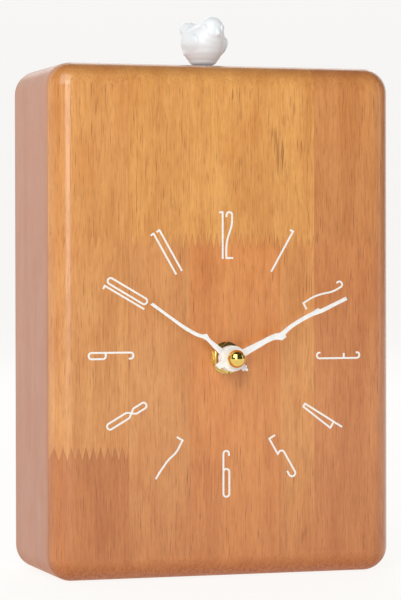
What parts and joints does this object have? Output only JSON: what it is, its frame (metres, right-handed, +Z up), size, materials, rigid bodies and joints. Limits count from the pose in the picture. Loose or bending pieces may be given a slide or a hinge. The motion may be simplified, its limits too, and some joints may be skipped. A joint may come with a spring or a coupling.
{
  "type": "mantel clock",
  "caption": "Upright rounded wooden mantel clock with a numbered dial, twig-shaped hands on a brass hub, and a small white bird button on top.",
  "frame": {"origin": "middle of the flat base that the clock stands on", "axes": "+Z up, -Y out of the dial towards the viewer, +X to the viewer's right"},
  "size_m": [0.14, 0.075, 0.2209],
  "materials": {
    "wood_front": "satin clear lacquer over finger-jointed hardwood, golden brown",
    "wood_frame": "satin clear lacquer over hardwood boards, slightly pinker",
    "back_board": "black-faced fibreboard, fine matt texture",
    "white_ink": "screen-printed white ink",
    "white_paint": "satin white enamel on aluminium sheet",
    "brass": "machined brass",
    "polished_brass": "mirror-polished brass",
    "ceramic": "glazed white porcelain",
    "black_plastic": "moulded black plastic, fine grain",
    "dark_plastic": "moulded dark grey plastic",
    "grey_plastic": "moulded grey plastic",
    "gear_plastic": "natural white acetal",
    "black_rubber": "soft black rubber",
    "steel": "plain bright steel",
    "zinc_steel": "zinc-plated steel",
    "magnet": "sintered ferrite, dark grey",
    "copper": "enamelled copper wire",
    "circuit_green": "solder mask on a glass-fibre board",
    "cell_label": "plain printed sleeve on a steel can",
    "paper_cone": "pressed black paper"
  },
  "bodies": {
    "case": {"front_panel": "wood_front", "left_side_board": "wood_frame", "right_side_board": "wood_frame", "top_board": "wood_frame", "bottom_board": "wood_frame", "back_panel": "back_board", "back_panel_screws": "zinc_steel", "hour_numerals": "white_ink", "movement_front_plate": "black_plastic", "movement_housing": "black_plastic", "threaded_bushing": "brass", "rubber_washer": "black_rubber", "brass_washer": "brass", "hex_nut": "brass", "middle_plate": "grey_plastic", "stator": "steel", "coil_bobbin": "grey_plastic", "coil_winding": "copper", "circuit_board": "circuit_green", "clock_chip": "black_plastic", "quartz_crystal": "steel", "movement_battery": "cell_label", "movement_contacts": "steel", "button_bush": "dark_plastic", "push_switch_body": "dark_plastic", "switch_bracket": "grey_plastic", "speaker_frame": "steel", "speaker_cone": "paper_cone", "speaker_magnet": "magnet", "battery_box": "dark_plastic", "sound_batteries": "cell_label", "battery_springs": "steel", "sound_board": "circuit_green", "sound_board_parts": "dark_plastic", "slide_switch_body": "steel"},
    "minute_hand_group": {"minute_hand": "white_paint", "cap_nut": "polished_brass", "minute_arbor": "brass", "friction_washer": "steel"},
    "hour_hand_group": {"hour_hand": "white_paint", "hour_wheel": "gear_plastic"},
    "setting_group": {"minute_wheel": "gear_plastic", "setting_knob": "black_plastic"},
    "centre_wheel_group": {"centre_wheel": "gear_plastic"},
    "third_wheel_group": {"third_wheel": "gear_plastic"},
    "seconds_wheel_group": {"seconds_wheel": "gear_plastic"},
    "intermediate_wheel_group": {"intermediate_wheel": "gear_plastic"},
    "rotor_group": {"rotor": "gear_plastic", "rotor_magnet": "magnet"},
    "bird_button": {"bird": "ceramic", "button_plunger": "dark_plastic", "retaining_clip": "steel", "push_switch_stem": "grey_plastic", "button_spring": "steel"},
    "battery_door": {"battery_door": "dark_plastic"},
    "sound_switch_knob": {"slide_switch_knob": "dark_plastic"}
  },
  "joints": [
    {"name": "minute_hand_turn", "type": "hinge", "parent": "case", "child": "minute_hand_group", "pos_m": [0, -0.0383, 0.0857], "axis": [0, 1, 0], "continuous": true},
    {"name": "hour_hand_turn", "type": "hinge", "parent": "case", "child": "hour_hand_group", "pos_m": [0, -0.0353, 0.0857], "axis": [0, 1, 0], "continuous": true},
    {"name": "setting_knob_turn", "type": "hinge", "parent": "case", "child": "setting_group", "pos_m": [-0.00764, -0.0093, 0.09334], "axis": [0, 1, 0], "continuous": true},
    {"name": "seconds_wheel_turn", "type": "hinge", "parent": "case", "child": "seconds_wheel_group", "pos_m": [0, -0.0153, 0.0857], "axis": [0, 1, 0], "continuous": true},
    {"name": "centre_wheel_turn", "type": "hinge", "parent": "case", "child": "centre_wheel_group", "pos_m": [0, -0.0173, 0.0857], "axis": [0, 1, 0], "continuous": true},
    {"name": "third_wheel_turn", "type": "hinge", "parent": "case", "child": "third_wheel_group", "pos_m": [0.009, -0.0163, 0.0857], "axis": [0, 1, 0], "continuous": true},
    {"name": "intermediate_wheel_turn", "type": "hinge", "parent": "case", "child": "intermediate_wheel_group", "pos_m": [0.00233, -0.0133, 0.09439], "axis": [0, 1, 0], "continuous": true},
    {"name": "rotor_turn", "type": "hinge", "parent": "case", "child": "rotor_group", "pos_m": [0.00583, -0.0163, 0.10046], "axis": [0, 1, 0], "continuous": true},
    {"name": "bird_press", "type": "slide", "parent": "case", "child": "bird_button", "axis": [0, 0, -1], "range_m": [0, 0.0008], "stiffness_N_per_m": 600, "springref_m": -0.002, "deforming": ["button_spring"]},
    {"name": "battery_door_lift", "type": "slide", "parent": "case", "child": "battery_door", "axis": [0, 1, 0], "range_m": [0, 0.03]},
    {"name": "sound_switch_slide", "type": "slide", "parent": "case", "child": "sound_switch_knob", "axis": [1, 0, 0], "range_m": [0, 0.003]}
  ],
  "couplings": [
    {"joint": "hour_hand_turn", "follows": "minute_hand_turn", "ratio": 0.083333},
    {"joint": "setting_knob_turn", "follows": "minute_hand_turn", "ratio": -0.33333},
    {"joint": "centre_wheel_turn", "follows": "seconds_wheel_turn", "ratio": 0.016667},
    {"joint": "third_wheel_turn", "follows": "seconds_wheel_turn", "ratio": -0.125},
    {"joint": "intermediate_wheel_turn", "follows": "seconds_wheel_turn", "ratio": -5},
    {"joint": "rotor_turn", "follows": "seconds_wheel_turn", "ratio": 30}
  ]
}
